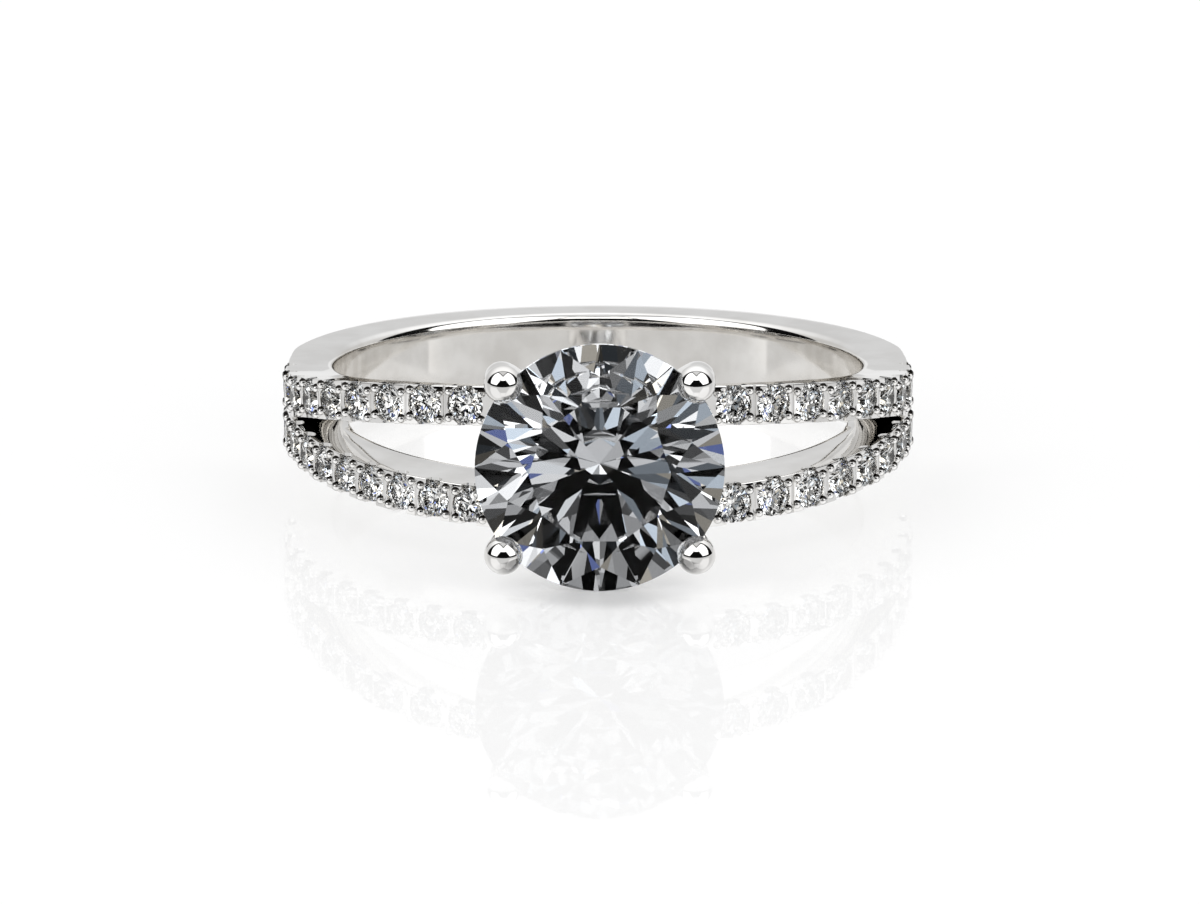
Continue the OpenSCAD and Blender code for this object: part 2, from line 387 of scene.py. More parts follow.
TABLE_TONE = 0.5
TABLE_GLOW = 0.515
TOUCH_GLOW = 0.26
GLOSS = (0.6, 0.3)
# painted contact shadow: the glow is lowered in this oval where the ring touches the table
touch = oval((0.0, -0.0137, FLOOR_Z), (0.0036, 0.0016, 1.0))
distance = add(tree, "ShaderNodeVectorMath", {0: place}, operation="LENGTH").outputs["Value"]
fresnel = add(tree, "ShaderNodeFresnel", {"IOR": 1.45}).outputs["Fac"]
gloss_left = ramp_between(tree, distance, 0.025, 0.060, *GLOSS, "LINEAR")
matt = add(tree, "ShaderNodeBsdfDiffuse", {"Color": (TABLE_TONE, TABLE_TONE, TABLE_TONE, 1.0)})
glowing = glow(ramp_between(tree, touch, 0.2, 1.0, TOUCH_GLOW, TABLE_GLOW))
white = add(tree, "ShaderNodeAddShader", {0: matt.outputs[0], 1: glowing}).outputs[0]
seen = mixed(maths(tree, "MULTIPLY", fresnel, gloss_left), white, mirror)
print("glow of the table, at the ring and elsewhere:", TOUCH_GLOW, TABLE_GLOW)

# %% [markdown]
# To the metal it is a plain white table with a dim sheen of the panels. It is darkened by a
# painted shadow under the stone, and it ends in front.

# %% Table as the metal sees it
METAL_SHADE = (0.08, 0.92)
SHEEN = 0.2
METAL_FRONT = 0.150
METAL_SOFT = 0.04
# painted shadow: the table's glow is dimmed in this oval under the stone, as the metal sees it
under = oval((0.0, -0.0145, FLOOR_Z), (0.0045, 0.003, 1.0))
lit = mixed(SHEEN, glow(ramp_between(tree, under, 0.4, 1.0, *METAL_SHADE)), mirror)
ends = ramp_between(tree, forward, -METAL_FRONT, -METAL_FRONT - METAL_SOFT)
lit = mixed(ends, lit, glow(BLACK_CLOTH))
print("to the metal the table ends", METAL_FRONT, "m in front")

# %% [markdown]
# To the stones it is patched like the room, and ends sooner.

# %% Table as the stones see it
TABLE_PATCH_SCALE = 260.0
TABLE_PATCH_LIGHT = (0.1, 0.9)
STONE_FRONT = 0.080
STONE_SOFT = 0.004
cloth, number = patches(tree, place, TABLE_PATCH_SCALE, *TABLE_PATCH_LIGHT)
ends = ramp_between(tree, forward, -STONE_FRONT, -STONE_FRONT - STONE_SOFT, 1.0, 0.0)
patched = glow(maths(tree, "MULTIPLY", cloth, ends))
lit = mixed(kind_of_ray["Is Transmission Ray"], lit, patched)
final = mixed(kind_of_ray["Is Camera Ray"], lit, seen)
add(tree, "ShaderNodeOutputMaterial", {"Surface": final})
print("table drawn with", len(tree.nodes), "nodes")

# %% [markdown]
# The picture keeps plain display colours. A ray may turn sixteen times, because light goes to
# and fro inside a cut stone before it comes out again.

# %% Light paths
scene = bpy.context.scene
scene.view_settings.view_transform = "Standard"
scene.view_settings.look = "None"
scene.cycles.max_bounces = 16
scene.cycles.transmission_bounces = 16
scene.cycles.glossy_bounces = 10
scene.cycles.caustics_refractive = True
scene.cycles.caustics_reflective = True
scene.cycles.blur_glossy = 0.0
print("a ray turns up to", scene.cycles.max_bounces, "times")


# %% [markdown]
# ## Finishes
# White gold is hand polished on a wheel. The polish leaves a very slight haze that comes and
# goes, and a surface that is never perfectly flat, which makes the reflections swim a little.
# One shared group gives tone, haze and swell, and each metal finish sets its own values.

# %% Polish group
SWELL_HEIGHT = 0.00004


def polish_group():
    """The group that every metal finish shares: it puts out a tone, a haze and a normal."""
    group = bpy.data.node_groups.new("hand_polish", "ShaderNodeTree")
    for name, kind, value in (("Pattern size", "NodeSocketFloat", 1.0),
                              ("Light tone", "NodeSocketColor", (0.9, 0.9, 0.9, 1.0)),
                              ("Dark tone", "NodeSocketColor", (0.8, 0.8, 0.8, 1.0)),
                              ("Least haze", "NodeSocketFloat", 0.02),
                              ("Most haze", "NodeSocketFloat", 0.06),
                              ("Swell", "NodeSocketFloat", 0.1)):
        socket = group.interface.new_socket(name, in_out="INPUT", socket_type=kind)
        socket.default_value = value
    for name, kind in (("Tone", "NodeSocketColor"), ("Haze", "NodeSocketFloat"),
                       ("Normal", "NodeSocketVector")):
        group.interface.new_socket(name, in_out="OUTPUT", socket_type=kind)
    given = add(group, "NodeGroupInput")
    where = add(group, "ShaderNodeTexCoord").outputs["Object"]
    spots = add(group, "ShaderNodeVectorMath", {0: where, "Scale": given.outputs["Pattern size"]},
                operation="SCALE").outputs[0]
    cloud = add(group, "ShaderNodeTexNoise", {"Vector": spots, "Scale": 700.0, "Detail": 3.0})
    wave = add(group, "ShaderNodeTexNoise", {"Vector": spots, "Scale": 420.0, "Detail": 1.0})
    tone = mixed_colour(group, ramp_between(group, cloud.outputs["Fac"], 0.3, 0.7),
                        given.outputs["Dark tone"], given.outputs["Light tone"])
    haze = ramp_between(group, cloud.outputs["Fac"], 0.35, 0.65,
                        given.outputs["Least haze"], given.outputs["Most haze"], "LINEAR")
    swell = add(group, "ShaderNodeBump", {
        "Height": wave.outputs["Fac"], "Strength": given.outputs["Swell"],
        "Distance": SWELL_HEIGHT})
    add(group, "NodeGroupOutput", {"Tone": tone, "Haze": haze, "Normal": swell.outputs["Normal"]})
    return group


HAND_POLISH = polish_group()
print("group", HAND_POLISH.name, "with", len(HAND_POLISH.nodes), "nodes")


# %% [markdown]
# The wheel doesn't reach everywhere. The prongs and the outside of the shank are bright, its
# inside is a little hazy, and the seats of the small stones are rougher, with a darker tone
# that is painted shade in those hollows. The claws are toned lighter, which is painted light,
# with painted shade on their upper flanks and at their feet.

# %% Metals
def metal_finish(name, size, light_tone, dark_tone, haze, swell, painted_shade=None, edge=1.0):
    """A polished metal with its own pattern size, tones, haze range, swell and edge tone.

    A mask of painted shade can be given: the name of the piece's own mask and the dark tone painted
    where that mask is 1."""
    material, tree = new_material(name)
    polish = add(tree, "ShaderNodeGroup", node_tree=HAND_POLISH)
    values = {"Pattern size": size, "Light tone": light_tone, "Dark tone": dark_tone,
              "Least haze": haze[0], "Most haze": haze[1], "Swell": swell}
    for socket, value in values.items():
        polish.inputs[socket].default_value = value
    tone = polish.outputs["Tone"]
    # painted shade: a near-black tone laid over the metal's own tone where the piece's mask is 1
    if painted_shade:
        mask = add(tree, "ShaderNodeAttribute", attribute_name=painted_shade[0]).outputs["Fac"]
        tone = mixed_colour(tree, mask, tone, painted_shade[1])
    surface = add(tree, "ShaderNodeBsdfPrincipled", {
        "Base Color": tone, "Roughness": polish.outputs["Haze"],
        "Normal": polish.outputs["Normal"], "Metallic": 1.0,
        "Specular Tint": (edge, edge, edge, 1.0)})
    add(tree, "ShaderNodeOutputMaterial", {"Surface": surface.outputs[0]})
    return material


white_gold = metal_finish("white_gold_polished", 1.0, (0.885, 0.88, 0.87, 1.0),
                          (0.775, 0.765, 0.75, 1.0), (0.015, 0.05), 0.12)
# The cut metal's darker tone is painted shade in the seats, cuts and grooves; its higher haze is the
# rough finish that the wheel leaves.
shaded_cut_gold = metal_finish("white_gold_cuts", 2.0, (0.60, 0.585, 0.565, 1.0),
                        (0.44, 0.425, 0.405, 1.0), (0.06, 0.16), 0.3)
# The claws get a lighter tone than the shank, which is painted light, and a near-black painted shade on
# their upper flanks and feet.
claw_gold = metal_finish("white_gold_claws", 2.0, (0.93, 0.925, 0.915, 1.0),
                         (0.87, 0.86, 0.84, 1.0), (0.01, 0.04), 0.05,
                         painted_shade=("painted_shade", (0.02, 0.018, 0.016, 1.0)), edge=0.2)
satin_gold = metal_finish("white_gold_inside", 1.0, (0.86, 0.845, 0.82, 1.0),
                          (0.74, 0.72, 0.69, 1.0), (0.05, 0.10), 0.2)
print("metals:", white_gold.name, shaded_cut_gold.name, claw_gold.name, satin_gold.name)


# %% [markdown]
# Diamond bends light more than any other gem: its index is 2.42, against 1.5 for window
# glass. With true facets that alone makes the dark arrows and bright flashes, so the glass
# stays plain. The small stones are clear; the large one is tinted grey, which is painted
# shade that dims it as a darker room would. Its outside mirrors very little of the room, as in
# the photograph, where nearly all of a stone's light comes from inside it.

# %% Glass of the stones
GEM_INDEX = 2.42
GEM_MIRROR = (0.03, 0.03, 0.03, 1.0)


def gem_finish(name, tint):
    """Clear glass of a tint, with the bending power of diamond."""
    material, tree = new_material(name)
    glass = add(tree, "ShaderNodeBsdfPrincipled", {
        "Base Color": tint, "Roughness": 0.0, "IOR": GEM_INDEX, "Transmission Weight": 1.0,
        "Metallic": 0.0, "Specular Tint": GEM_MIRROR})
    add(tree, "ShaderNodeOutputMaterial", {"Surface": glass.outputs[0]})
    return material


# The large stone's grey tint is painted shade: it dims the whole stone as a darker room would.
centre_glass_painted_shade = gem_finish("centre_brilliant_glass", (0.55, 0.56, 0.58, 1.0))
small_stone = gem_finish("small_brilliant_glass", (1.0, 1.0, 0.99, 1.0))
print("stones:", centre_glass_painted_shade.name, small_stone.name)


# %% [markdown]
# ## Bench tools
# Each piece is shaped in a bmesh and then handed over by one function. It clears away edges
# too short to see, turns the faces outward, leans the piece into place, shades metal smooth
# except at true edges, and lets the piece ride on the construction.

# %% Handing a piece over
SMOOTH_ANGLE = math.radians(35)
TINY = 0.0005


def hand_over(bm, name, materials, replaces=(), smooth=True, weighted=True):
    """Turns a bmesh in the ring's own frame into a finished piece."""
    bmesh.ops.dissolve_degenerate(bm, edges=bm.edges, dist=TINY)
    bmesh.ops.recalc_face_normals(bm, faces=bm.faces)
    bmesh.ops.transform(bm, matrix=TO_ROW, verts=bm.verts)
    if smooth:
        for face in bm.faces:
            face.smooth = True
        for edge in bm.edges:
            edge.smooth = len(edge.link_faces) == 2 and edge.calc_face_angle(0.0) < SMOOTH_ANGLE
    mesh = bpy.data.meshes.new(name)
    bm.to_mesh(mesh)
    bm.free()
    piece = bpy.data.objects.new(name, mesh)
    bpy.context.scene.collection.objects.link(piece)
    for finish in materials:
        mesh.materials.append(finish)
    if smooth and weighted:
        even = piece.modifiers.new("even_shading", "WEIGHTED_NORMAL")
        even.keep_sharp = True
    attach(piece, "root")
    if replaces:
        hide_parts(*replaces)
    print(name, len(mesh.polygons), "faces")
    return piece


print("edges bent by more than", round(math.degrees(SMOOTH_ANGLE)), "degrees stay sharp")


# %% [markdown]
# Metal is cut with other shapes, as with a graver or a drill, and soldered to other metal. A
# Boolean modifier does both, and its result comes back as a bmesh, so that the next tool can
# follow. Shapes that only lie beside each other are joined without it.

# %% Cutting and joining
def cut_away(bm, cutter, operation="DIFFERENCE"):
    """The first bmesh with the second cut away from it, or joined to it, as a new bmesh."""
    pair = []
    for part in (bm, cutter):
        bmesh.ops.recalc_face_normals(part, faces=part.faces)
        mesh = bpy.data.meshes.new("bench")
        part.to_mesh(mesh)
        part.free()
        pair.append(bpy.data.objects.new("bench", mesh))
        bpy.context.scene.collection.objects.link(pair[-1])
    work, tool = pair
    cut = work.modifiers.new("cut", "BOOLEAN")
    cut.operation, cut.object, cut.solver = operation, tool, "MANIFOLD"
    done = bpy.data.meshes.new_from_object(work.evaluated_get(bpy.context.evaluated_depsgraph_get()))
    result = bmesh.new()
    result.from_mesh(done)
    bpy.data.meshes.remove(done)
    for part in pair:
        bpy.data.meshes.remove(part.data)
    return result


def join_into(bm, other):
    """Adds a bmesh to another and frees it."""
    mesh = bpy.data.meshes.new("bench")
    other.to_mesh(mesh)
    other.free()
    bm.from_mesh(mesh)
    bpy.data.meshes.remove(mesh)


def open_edges(bm):
    """How many edges don't lie between exactly two faces."""
    return sum(1 for e in bm.edges if len(e.link_faces) != 2)


# %% [markdown]
# Many parts of a ring are round, so they are turned: a profile is spun right round its axis.
# Faces of metal carry the number of their finish: polished, cut by a tool, or satin.

# %% Turning
MERGE = 1e-5
POLISHED, CUT, SATIN = range(3)


def spun(profile, steps, at=Matrix.Identity(4), finish=POLISHED):
    """A closed turned shape: the profile's (radius, height) points spun round Z."""
    bm = bmesh.new()
    points = [bm.verts.new((r, 0.0, z)) for r, z in profile]
    edges = [bm.edges.new(pair) for pair in zip(points, points[1:])]
    bmesh.ops.spin(bm, geom=points + edges, cent=(0, 0, 0), axis=(0, 0, 1), angle=2 * math.pi,
                   steps=steps, use_merge=True)
    bmesh.ops.remove_doubles(bm, verts=bm.verts, dist=MERGE)
    bmesh.ops.transform(bm, matrix=at, verts=bm.verts)
    for face in bm.faces:
        face.material_index = finish
    return bm


def arc(start, end, steps):
    """The angles of an arc in equal steps, both ends included, from degrees."""
    return [math.radians(start + (end - start) * k / steps) for k in range(steps + 1)]


print("finishes on metal faces:", dict(polished=POLISHED, cut=CUT, satin=SATIN))

# %% [markdown]
# ## Shank
# The shank is one bar of metal that starts as a plain back and forks into two bands. Its
# upper half is made first: a section with rounded corners is spun right round the finger
# hole, and then each step of the spin is filed to the section that belongs at that turn. At
# the back the lower side lies in the ring's middle plane and is dropped, in front it rises
# with the band and becomes the wall of the split, which curves away toward the finger. A
# mirrored copy closes the ring.

# %% Outside of the shank
HEAD_FLAT = (2.9, 3.4)
PAVE_DROP = 0.12
PAVE_END = (math.radians(95), math.radians(106))


def smooth(low, high, value):
    """0 below low, 1 above high, and an S curve between."""
    t = min(1.0, max(0.0, (value - low) / (high - low)))
    return t * t * (3 - 2 * t)


def outer_radius(turn):
    """Distance from the hole's axis to the outside at a turn from the front.

    The outside is lower by PAVE_DROP as far as the small stones reach, and flat at the head."""
    around = abs(math.remainder(turn, 2 * math.pi))
    drop = PAVE_DROP * (1 - smooth(*PAVE_END, around))
    if math.cos(turn) <= 0:
        return BACK_R - drop
    out = FRONT_SHIFT * math.cos(turn)
    out += math.sqrt(FRONT_R ** 2 - (FRONT_SHIFT * math.sin(turn)) ** 2)
    flat = SEAT_Y / math.cos(turn)
    aside = abs(out * math.sin(turn))
    return out - drop + min(0.0, flat - out + drop) * (1 - smooth(*HEAD_FLAT, aside))


print("outside at the front, the side and the back:",
      [round(outer_radius(math.radians(turn)), 3) for turn in (0, 90, 180)])

# %% Sections of the shank
CORNER_STEPS = 5
WALL_STEPS = 4
TOP_ROUND = 0.26
OUTER_ROUND = 0.035
GAP_ROUND = 0.04
COMFORT_W = 0.85
BACK_RISE = 0.13
SPLIT_LENGTH = 1.6
SHOULDER_BLEND = 0.12
MID_R = BORE_R + SHANK_T / 2


def corner(centre, reach, start, end):
    """Points of a quarter turn, from one angle to another, with its own reach each way."""
    return [Vector((centre[0] + reach[0] * math.cos(t), centre[1] + reach[1] * math.sin(t)))
            for t in arc(start, end, CORNER_STEPS)]


def section(turn):
    """The upper band's section at a turn from the front, as (radius, height) points."""
    forward = MID_R * math.cos(turn)
    outer = outer_radius(turn)
    split = smooth(FORK_Y, FORK_Y + SPLIT_LENGTH, forward)

    def top(radius):
        """The height of the upper side: the back's and the band's, blended where they meet."""
        ahead = radius * math.cos(turn)
        back = SIDE_W / 2 + ((BACK_W - SIDE_W) / 2 + BACK_RISE) * smooth(0.0, BACK_R, -ahead)
        band = BAND_0 + SLOPE * ahead + BAND_HALF
        return 0.5 * (back + band + math.hypot(back - band, SHOULDER_BLEND))

    def gap(radius):
        """The height of the lower side: the middle plane, and then the wall of the split."""
        ahead = radius * math.cos(turn)
        return SLOPE * max(0.0, forward - FORK_Y) + SLOPE * (ahead - forward) * split

    inner_knee, outer_knee = BORE_R + COMFORT_W, outer - GAP_ROUND * split
    relief, edge = BAND_RELIEF * split, GAP_ROUND * split
    corners = [
        corner((outer_knee, gap(outer) + edge), (edge, edge), 0, -90),
        corner((inner_knee, gap(inner_knee) + relief), (COMFORT_W, relief), 270, 180),
        corner((BORE_R + TOP_ROUND, top(BORE_R) - TOP_ROUND), (TOP_ROUND, TOP_ROUND), 180, 90),
        corner((outer - OUTER_ROUND, top(outer) - OUTER_ROUND), (OUTER_ROUND, OUTER_ROUND), 90, 0),
    ]
    points = []
    for i, bend in enumerate(corners):
        following = corners[(i + 1) % len(corners)][0]
        points += bend
        points += [bend[-1].lerp(following, k / WALL_STEPS) for k in range(1, WALL_STEPS)]
    return points


print("points in a section:", len(section(0.0)))


# %% Shank
SPIN_STEPS = 288
SATIN_DEPTH = 0.06


def shank_shape():
    """The closed shank before the stones' seats are cut."""
    bm = bmesh.new()
    spot = bm.verts.layers.int.new("spot")
    points = []
    for k, (radius, rise) in enumerate(section(0.0)):
        point = bm.verts.new((0.0, -radius, rise))
        point[spot] = k
        points.append(point)
    edges = [bm.edges.new((points[k - 1], points[k])) for k in range(len(points))]
    bmesh.ops.spin(bm, geom=points + edges, cent=(0, 0, 0), axis=(0, 0, 1), angle=2 * math.pi,
                   steps=SPIN_STEPS, use_merge=True)
    filed = {}
    for vert in bm.verts:
        step = round(math.atan2(vert.co.x, -vert.co.y) / (2 * math.pi) * SPIN_STEPS)
        turn = step * 2 * math.pi / SPIN_STEPS
        if step not in filed:
            filed[step] = section(turn)
        radius, rise = filed[step][vert[spot]]
        vert.co = (radius * math.sin(turn), -radius * math.cos(turn), rise)
    flat = [f for f in bm.faces if all(abs(v.co.z) < 1e-6 for v in f.verts)]
    bmesh.ops.delete(bm, geom=flat, context="FACES")
    bmesh.ops.remove_doubles(bm, verts=bm.verts, dist=MERGE)
    copy = bmesh.ops.duplicate(bm, geom=bm.verts[:] + bm.edges[:] + bm.faces[:])
    lower = [g for g in copy["geom"] if isinstance(g, bmesh.types.BMVert)]
    bmesh.ops.scale(bm, verts=lower, vec=(1, 1, -1))
    for vert in lower:
        if vert.co.z < -SIDE_W / 2:
            vert.co.z = min(-SIDE_W / 2, vert.co.z + BACK_RISE * smooth(0.0, BACK_R, vert.co.y))
    bmesh.ops.remove_doubles(bm, verts=bm.verts, dist=MERGE)
    bmesh.ops.dissolve_degenerate(bm, edges=bm.edges, dist=1e-6)
    bmesh.ops.recalc_face_normals(bm, faces=bm.faces)
    for face in bm.faces:
        if all(math.hypot(v.co.x, v.co.y) < BORE_R + SATIN_DEPTH for v in face.verts):
            face.material_index = SATIN
    return bm


shank = shank_shape()
print("shank:", len(shank.faces), "faces,", open_edges(shank), "open edges")

# %% [markdown]
# ## Seats, cuts and claws
# The small stones sit in seats that are a little wider than the band. A round cut under each
# stone opens the band's edges, which leaves them scalloped, with a pillar between every two
# stones. A thin groove splits each pillar, and the claws of its two neighbours stand on the
# halves. Each row has a side, a level, a number of stones, the turn of its first stone round
# the front arc and the turn from one stone to the next, so that one function places seats,
# cuts, claws and stones.

# %% Rows of small stones, in millimetres and degrees
MELEE_SINK = 0.1
SEAT_GAP = 0.025
TABLE = 0.57
CROWN = math.radians(34.5)
PAVILION = math.radians(40.75)
GIRDLE = 0.028
ROWS = {
    "melee_upper_left": dict(side=-1, level=1, count=9, start=25.1, pitch=8.4, radius=0.61),
    "melee_upper_right": dict(side=1, level=1, count=9, start=25.1, pitch=8.4, radius=0.61),
    "melee_lower_left": dict(side=-1, level=-1, count=10, start=24.3, pitch=7.4, radius=0.56),
    "melee_lower_right": dict(side=1, level=-1, count=9, start=25.1, pitch=8.4, radius=0.61),
}
print("rows:", list(ROWS))


# %% Places along a band
def turn_and_ahead(row, index):
    """A stone's turn round the front arc, and how far ahead of the hole's axis it lies."""
    turn = math.radians(row["start"] + index * row["pitch"])
    return turn, FRONT_SHIFT + FRONT_R * math.cos(turn)


def on_band(row, index, along=0.0, lift=0.0):
    """Where something sits on a row: Z points out of the band, Y along the finger hole."""
    turn, ahead = turn_and_ahead(row, index)
    middle = max(SIDE_W / 4, BAND_0 + SLOPE * ahead)
    spin = row["side"] * (turn + along / FRONT_R)
    return (Matrix.Translation((0, -FRONT_SHIFT, row["level"] * middle))
            @ Matrix.Rotation(spin, 4, "Z") @ Matrix.Translation((0, PAVE_DROP - FRONT_R - lift, 0))
            @ Matrix.Rotation(math.pi / 2, 4, "X"))


def step_length(row):
    """The way from one stone of a row to the next, along the band."""
    return math.radians(row["pitch"]) * FRONT_R


print("first place:", [round(c, 3) for c in on_band(ROWS["melee_upper_left"], 0).translation])


# %% Filling the rows
def all_rows(shape):
    """One bmesh with the shape that a function gives for every stone of every row."""
    bm = bmesh.new()
    for row in ROWS.values():
        for index in range(row["count"]):
            join_into(bm, shape(row, index))
    return bm


def set_in_row(row, pattern, lift=0.0):
    """Copies of a bmesh in every place of a row, as one bmesh. The pattern is freed."""
    mesh = bpy.data.meshes.new("pattern")
    pattern.to_mesh(mesh)
    pattern.free()
    bm = bmesh.new()
    for index in range(row["count"]):
        copy = bmesh.new()
        copy.from_mesh(mesh)
        bmesh.ops.transform(copy, matrix=on_band(row, index, lift=lift), verts=copy.verts)
        join_into(bm, copy)
    bpy.data.meshes.remove(mesh)
    return bm


print("small stones:", sum(row["count"] for row in ROWS.values()))

# %% Seats
SEAT_FLARE = 0.04
SEAT_TOP = 0.45
CONE_ROOM = 1.1


def seat(row, index):
    """The room of one small stone, flared a little toward the top."""
    wide = row["radius"] + SEAT_GAP
    g = GIRDLE * row["radius"] + SEAT_GAP / 2
    depth = wide * math.tan(PAVILION) * CONE_ROOM
    profile = [(0.0, -g - depth), (wide, -g), (wide, g), (wide + SEAT_FLARE, SEAT_TOP), (0.0, SEAT_TOP)]
    return spun(profile, 40, on_band(row, index, lift=-MELEE_SINK), finish=CUT)


shank = cut_away(shank, all_rows(seat))
print("with seats:", len(shank.faces), "faces,", open_edges(shank), "open edges")

# %% Cuts and grooves
CUT_R = 0.27
CUT_HALF = BAND_HALF + 0.05
CUT_SINK = 0.05
CUT_START = 0.1
FORK_ROOM = 2.9
GROOVE_R = 0.05
GROOVE_HALF = 0.6
ALONG_HOLE = Matrix.Rotation(-math.pi / 2, 4, "X")


def rod(radius, low, high):
    """The profile of a round rod from one height to another."""
    return [(0.0, low), (radius, low), (radius, high), (0.0, high)]


def edge_cut(row, index):
    """A round cut under a stone, through both edges of the band, or the outer one by the fork."""
    ahead = turn_and_ahead(row, index)[1]
    inner = -CUT_HALF if ahead > FORK_ROOM else CUT_START
    low, high = (inner, CUT_HALF) if row["level"] > 0 else (-CUT_HALF, -inner)
    return spun(rod(CUT_R, low, high), 28, on_band(row, index, lift=-CUT_SINK) @ ALONG_HOLE)


def groove(row, index):
    """A thin groove across the band, halfway to the next stone."""
    halfway = on_band(row, index, along=step_length(row) / 2)
    return spun(rod(GROOVE_R, -GROOVE_HALF, GROOVE_HALF), 12, halfway @ ALONG_HOLE)


for tool in (edge_cut, groove):
    shank = cut_away(shank, all_rows(tool))
print("with cuts and grooves:", len(shank.faces), "faces,", open_edges(shank), "open edges")
hand_over(shank, "shank", (white_gold, shaded_cut_gold, satin_gold),
          replaces=("ring_body",))


# %% [markdown]
# Each small stone is held by four claws. They are turned posts with a round tip, and the room
# of the stone is cut out of the four at once, so that the tips lie on its crown. One set is
# made for each row and then set in every place of it. A mask marks the upper flank of each
# claw and its foot, where the finish paints shade: near black on the flank, and darker at the foot.

# %% Room of a stone
CROWN_ROOM = 1.15


def room_profile(radius, gap):
    """The space of a stone with a gap all round, as a turned shape."""
    g = GIRDLE * radius + gap / 2
    rise = radius * (1 - TABLE) * math.tan(CROWN) * CROWN_ROOM
    drop = (radius + gap) * math.tan(PAVILION) * CONE_ROOM
    return [(0.0, -g - drop), (radius + gap, -g), (radius + gap, g),
            (TABLE * radius + gap, g + rise), (0.0, g + rise)]


print("height over the large stone's girdle:", round(room_profile(STONE_R, SEAT_GAP)[-1][1], 3))

# %% Claws
CLAW_R = 0.15
CLAW_TIP = -0.03
CLAW_FOOT = -0.5
CLAW_ACROSS = 0.43
CLAW_BACK = 0.185
CLAW_GAP = 0.008
# Where the painted shade begins on a claw's upper flank and at its foot, and how dark it is at the foot.
FLANK_EDGE = (0.03, 0.07)
FOOT_EDGE = (-0.08, -0.18)
FOOT_PAINTED_SHADE = 0.4


def claw_set(row):
    """The four claws of one stone, in the stone's own frame."""
    tip = [(CLAW_R * math.cos(a), CLAW_TIP + CLAW_R * math.sin(a)) for a in arc(0, 90, 6)]
    profile = [(0.0, CLAW_FOOT), (CLAW_R, CLAW_FOOT)] + tip
    reach = step_length(row) / 2 - CLAW_BACK
    bm = bmesh.new()
    for along in (-reach, reach):
        for across in (-CLAW_ACROSS, CLAW_ACROSS):
            join_into(bm, spun(profile, 20, Matrix.Translation((along, across, 0.0))))
    profile = room_profile(row["radius"], CLAW_GAP)
    bm = cut_away(bm, spun(profile, 48, Matrix.Translation((0, 0, -MELEE_SINK))))
    # The mask of painted shade on each claw: its upper flank and its foot.
    painted_shade = bm.verts.layers.float.new("painted_shade")
    for vert in bm.verts:
        above = vert.co.y - math.copysign(CLAW_ACROSS, vert.co.y)
        vert[painted_shade] = max(smooth(*FLANK_EDGE, above), FOOT_PAINTED_SHADE * smooth(*FOOT_EDGE, vert.co.z))
    return bm


claws = bmesh.new()
for row in ROWS.values():
    join_into(claws, set_in_row(row, claw_set(row)))
hand_over(claws, "claws", (claw_gold,), replaces=("ring_body",), weighted=False)

# %% [markdown]
# ## Head
# Four round wires rise from the bands, where their feet are buried, bend just under the
# stone's girdle and end in a ball that is pushed over its edge. A gallery ring ties them
# together. The wires swell toward the ball, as drawn wire does when its end is melted to a
# bead. The room for the stone is then cut out of them, which gives each prong its notch.

# %% Middle line of a prong
FOOT = (2.57, BORE_R + 0.75)
BEND = (STONE_R + 0.66, STONE_Y - 0.8)
TIP = (STONE_R + 0.15, STONE_Y + 0.42)
WIRE_STEPS = 18


def prong_point(t):
    """A point on the wire's middle line, from foot to ball, as (radius, forward)."""
    a = Vector(FOOT).lerp(Vector(BEND), t)
    b = Vector(BEND).lerp(Vector(TIP), t)
    return a.lerp(b, t)


print("a prong rises from", [round(c, 2) for c in prong_point(0)], "to",
      [round(c, 2) for c in prong_point(1)])

# %% Prongs
PRONG_ANGLE = math.radians(42)
BALL_R = 0.62
WIRE_R = (0.42, 0.55)
WIRE_SIDES = 32


def prong(turn):
    """One prong with its ball, at a turn round the stone's axis."""
    bm = bmesh.new()
    out = Vector((math.cos(turn), 0.0, math.sin(turn)))
    points = []
    for k in range(WIRE_STEPS + 1):
        radius, forward = prong_point(k / WIRE_STEPS)
        points.append(out * radius + Vector((0.0, -forward, 0.0)))
    verts = bmesh.ops.create_circle(bm, cap_ends=True, segments=WIRE_SIDES, radius=1.0)["verts"]
    bmesh.ops.delete(bm, geom=bm.faces[:], context="FACES_ONLY")
    loop = bm.edges[:]
    circle = [v.co.copy() for v in verts]
    for k, point in enumerate(points):
        ahead = points[min(k + 1, WIRE_STEPS)] - points[max(k - 1, 0)]
        aim = ahead.to_track_quat("Z", "Y").to_matrix().to_4x4()
        thick = WIRE_R[0] + (WIRE_R[1] - WIRE_R[0]) * smooth(0.0, 0.75, k / WIRE_STEPS)
        placed = Matrix.Translation(point) @ aim @ Matrix.Scale(thick, 4)
        if k:
            grown = bmesh.ops.extrude_edge_only(bm, edges=loop)["geom"]
            verts = [g for g in grown if isinstance(g, bmesh.types.BMVert)]
            loop = [g for g in grown if isinstance(g, bmesh.types.BMEdge)
                    and all(v in verts for v in g.verts)]
        for vert, spot in zip(verts, circle):
            vert.co = placed @ spot
    bmesh.ops.holes_fill(bm, edges=[e for e in bm.edges if len(e.link_faces) == 1], sides=0)
    ball = bmesh.new()
    bmesh.ops.create_icosphere(ball, subdivisions=5, radius=BALL_R,
                               matrix=Matrix.Translation(points[-1]))
    return cut_away(bm, ball, "UNION")


head = bmesh.new()
for turn in (PRONG_ANGLE, math.pi - PRONG_ANGLE, math.pi + PRONG_ANGLE, -PRONG_ANGLE):
    join_into(head, prong(turn))
print("prongs:", len(head.faces), "faces,", open_edges(head), "open edges")


